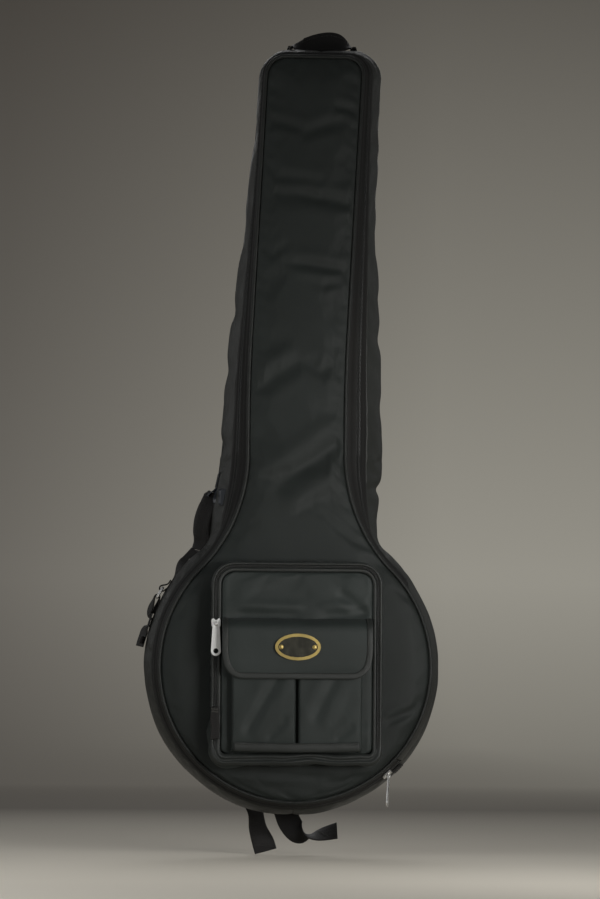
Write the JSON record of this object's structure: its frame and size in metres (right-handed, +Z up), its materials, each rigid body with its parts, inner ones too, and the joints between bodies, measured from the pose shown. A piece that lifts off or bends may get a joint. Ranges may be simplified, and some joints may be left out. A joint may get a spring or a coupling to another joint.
{
  "type": "soft banjo case",
  "caption": "Padded keyhole-shaped gig bag for a banjo, with a zipped side-hinged lid, front pocket with bound flap, side and top handles and back straps.",
  "frame": {"origin": "below the drum's underside centre: X on the drum's centre line, Y at mid-depth of the body, Z at the underside of the drum", "axes": "+Z up along the neck, +X to the right seen from the front, -Y out of the lid"},
  "size_m": [0.4041, 0.199, 1.1126],
  "materials": {
    "lid_cloth": "charcoal padded nylon with a fine weave",
    "gusset_cloth": "brown-grey padded nylon, softly creased",
    "piping_cloth": "black bound edge over a cord",
    "zip_tape": "black zip tape with a plastic coil",
    "plush_lining": "dark grey plush lining",
    "webbing": "black woven webbing",
    "black_foam": "soft black foam block",
    "nickel": "bright nickel plate",
    "gold": "polished gold-coloured metal",
    "enamel": "dark clear-coated enamel",
    "black_plastic": "black moulded plastic"
  },
  "bodies": {
    "shell": {"back_panel": "gusset_cloth", "gusset_right": "gusset_cloth", "gusset_left": "gusset_cloth", "back_piping": "piping_cloth", "shell_zip": "zip_tape", "shell_hinge_band": "gusset_cloth", "back_lining": "plush_lining", "zip_end_tab": "zip_tape", "handle_tab_upper": "webbing", "handle_tab_lower": "webbing", "ring_tab": "webbing", "haul_foot_left": "webbing", "haul_foot_right": "webbing", "strap_yoke": "gusset_cloth", "lower_anchor_left": "webbing", "lower_anchor_right": "webbing", "lower_webbing_left": "webbing", "lower_webbing_right": "webbing", "neck_cradle": "black_foam"},
    "lid": {"lid_panel": "lid_cloth", "lid_piping": "piping_cloth", "lid_rim_left": "gusset_cloth", "lid_rim_right": "gusset_cloth", "lid_zip": "zip_tape", "lid_hinge_band": "gusset_cloth", "lid_lining": "plush_lining", "pocket_wall": "lid_cloth", "pocket_border": "zip_tape", "pocket_coil": "zip_tape"},
    "pocket_door": {"pocket_front": "lid_cloth", "small_pocket_left": "lid_cloth", "small_pocket_right": "lid_cloth", "loop_strip_left": "webbing", "loop_strip_right": "webbing", "small_pocket_hem": "lid_cloth"},
    "flap": {"flap_panel": "lid_cloth", "flap_binding": "piping_cloth", "flap_hook_strip": "webbing", "badge_rim": "gold", "badge_face": "enamel", "badge_rivet_left": "gold", "badge_rivet_right": "gold"},
    "pocket_slider": {"pocket_slider": "nickel"},
    "pocket_pull": {"pocket_pull": "nickel"},
    "main_slider": {"main_slider": "nickel"},
    "main_pull": {"main_pull": "nickel"},
    "side_handle": {"side_handle": "webbing"},
    "haul_handle": {"haul_handle": "webbing"},
    "strap_ring": {"strap_ring": "nickel"},
    "strap_drop": {"strap_webbing": "webbing", "tri_glide": "black_plastic", "strap_keeper": "webbing"},
    "shoulder_left": {"shoulder_pad_left": "lid_cloth", "ladder_lock_left": "black_plastic"},
    "shoulder_right": {"shoulder_pad_right": "lid_cloth", "ladder_lock_right": "black_plastic"},
    "tail_left": {"strap_tail_left": "webbing"},
    "tail_right": {"strap_tail_right": "webbing"},
    "neck_strap": {"neck_strap": "webbing"}
  },
  "joints": [
    {"name": "lid_hinge", "type": "hinge", "parent": "shell", "child": "lid", "pos_m": [0.1883, -0.0417, 0.197], "axis": [0, 0, 1], "range_deg": [0, 130]},
    {"name": "pocket_door_hinge", "type": "hinge", "parent": "lid", "child": "pocket_door", "pos_m": [0, -0.09375, 0.08165], "axis": [1, 0, 0], "range_deg": [0, 75]},
    {"name": "flap_hinge", "type": "hinge", "parent": "pocket_door", "child": "flap", "pos_m": [0, -0.09375, 0.2603], "axis": [-1, 0, 0], "range_deg": [0, 95]},
    {"name": "pocket_slider_travel", "type": "slide", "parent": "lid", "child": "pocket_slider", "axis": [0, 0, 1], "range_m": [-0.1, 0.04]},
    {"name": "pocket_pull_swing", "type": "hinge", "parent": "pocket_slider", "child": "pocket_pull", "pos_m": [-0.107, -0.0985, 0.252], "axis": [-1, 0, 0], "range_deg": [-2, 165]},
    {"name": "main_slider_travel", "type": "hinge", "parent": "shell", "child": "main_slider", "pos_m": [0, -0.0417, 0.197], "axis": [0, 1, 0], "range_deg": [0, 165]},
    {"name": "main_pull_swing", "type": "hinge", "parent": "main_slider", "child": "main_pull", "pos_m": [0.1259, -0.0434, 0.05263], "axis": [0.2324, 0.9422, -0.2412], "range_deg": [-120, 40]},
    {"name": "side_handle_swing", "type": "hinge", "parent": "shell", "child": "side_handle", "pos_m": [-0.12458, 0.012, 0.38861], "axis": [-0.2406, 0, -0.9706], "range_deg": [-25, 25]},
    {"name": "haul_handle_swing", "type": "hinge", "parent": "shell", "child": "haul_handle", "pos_m": [0.03374, 0.012, 1.03514], "axis": [1, 0, 0], "range_deg": [-20, 20]},
    {"name": "strap_ring_swing", "type": "hinge", "parent": "shell", "child": "strap_ring", "pos_m": [-0.17547, 0.012, 0.30056], "axis": [0, 1, 0], "range_deg": [0, 90]},
    {"name": "strap_drop_swing", "type": "hinge", "parent": "strap_ring", "child": "strap_drop", "pos_m": [-0.18259, 0.012, 0.2885], "axis": [0, 1, 0], "range_deg": [0, 80]},
    {"name": "shoulder_left_swing", "type": "hinge", "parent": "shell", "child": "shoulder_left", "pos_m": [-0.036, 0.0637, 0.32885], "axis": [1, 0, 0], "range_deg": [0, 30]},
    {"name": "shoulder_right_swing", "type": "hinge", "parent": "shell", "child": "shoulder_right", "pos_m": [0.036, 0.0637, 0.32885], "axis": [1, 0, 0], "range_deg": [0, 30]},
    {"name": "tail_left_swing", "type": "hinge", "parent": "shoulder_left", "child": "tail_left", "pos_m": [-0.068, 0.0682, 0.1257], "axis": [1, 0, 0], "range_deg": [0, 25]},
    {"name": "tail_right_swing", "type": "hinge", "parent": "shoulder_right", "child": "tail_right", "pos_m": [-0.014, 0.0682, 0.1257], "axis": [1, 0, 0], "range_deg": [0, 25]},
    {"name": "neck_strap_swing", "type": "hinge", "parent": "shell", "child": "neck_strap", "pos_m": [-0.0678, -0.0059, 0.487], "axis": [0, 0, -1], "range_deg": [0, 12]}
  ]
}
